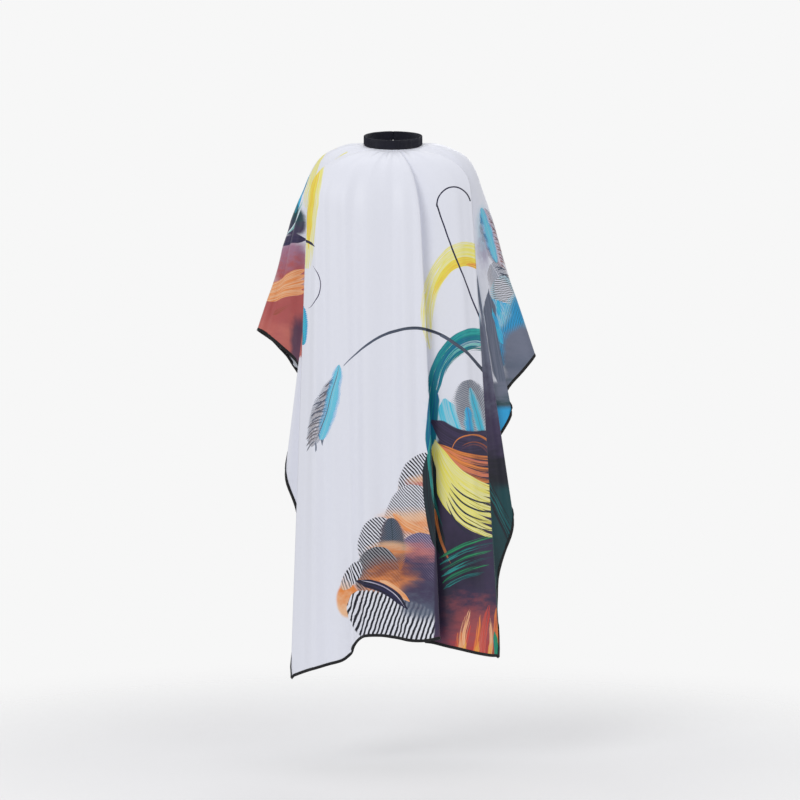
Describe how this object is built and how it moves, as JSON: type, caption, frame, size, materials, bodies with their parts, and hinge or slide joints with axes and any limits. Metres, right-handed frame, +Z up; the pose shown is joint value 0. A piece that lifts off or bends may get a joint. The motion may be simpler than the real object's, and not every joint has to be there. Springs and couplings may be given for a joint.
{
  "type": "barber cape",
  "caption": "Printed salon cape hanging as worn, with an elastic neckband, a snap tab and a slit at the back, and black tape round every edge.",
  "frame": {"origin": "centre of the closed neckband, on its axis and halfway up its height", "axes": "+Z up, -Y to the wearer's front, +X to the right as seen from the front; the neckband's own axis leans 14 degrees forward of +Z"},
  "size_m": [0.6394, 0.3629, 1.2493],
  "materials": {
    "cloth": "satin",
    "tape": "matte",
    "band": "matte",
    "elastic": "matte",
    "snap": "gloss",
    "label": "satin"
  },
  "bodies": {
    "front": {"cape_cloth": "cloth", "front_hem_tape": "tape", "side_tape_left": "tape", "side_tape_right": "tape", "back_hem_tape_left": "tape", "back_hem_tape_right": "tape", "band_casing_front": "band", "elastic_front": "elastic"},
    "left_half": {"back_flap_left": "cloth", "flap_tape_left": "tape", "band_casing_left": "band", "elastic_left": "elastic", "snap_sockets": "snap", "snap_socket_caps": "snap"},
    "right_half": {"back_flap_right": "cloth", "flap_tape_right": "tape", "band_casing_right": "band", "elastic_right": "elastic", "tab_anchor": "band"},
    "tab": {"tab_face": "band", "tab_lining": "band", "snap_stud": "snap", "snap_stud_cap": "snap"},
    "loop": {"hanging_loop": "tape"},
    "label": {"care_label": "label"}
  },
  "joints": [
    {"name": "tab_peel", "type": "hinge", "parent": "right_half", "child": "tab", "pos_m": [-0.00152, 0.07072, 0.01763], "axis": [0, 0.2419, -0.9703], "range_deg": [0, 120], "stiffness_Nm_per_rad": 0.0004},
    {"name": "left_open", "type": "hinge", "parent": "front", "child": "left_half", "pos_m": [-0.05039, 0.04402, 0.01098], "axis": [0.0507, -0.1825, 0.9819], "range_deg": [0, 30]},
    {"name": "right_open", "type": "hinge", "parent": "front", "child": "right_half", "pos_m": [0.05039, 0.04402, 0.01098], "axis": [0.0507, 0.1825, -0.9819], "range_deg": [0, 30]},
    {"name": "loop_swing", "type": "hinge", "parent": "right_half", "child": "loop", "pos_m": [0.0341, 0.05731, 0.01429], "axis": [0.866, -0.4851, -0.121], "range_deg": [0, 100]},
    {"name": "label_swing", "type": "hinge", "parent": "left_half", "child": "label", "pos_m": [-0.031, 0.05718, -0.00739], "axis": [-0.866, -0.4851, -0.121], "range_deg": [0, 60]}
  ],
  "couplings": [
    {"joint": "left_open", "follows": "tab_peel", "ratio": 0.25},
    {"joint": "right_open", "follows": "tab_peel", "ratio": 0.25}
  ]
}
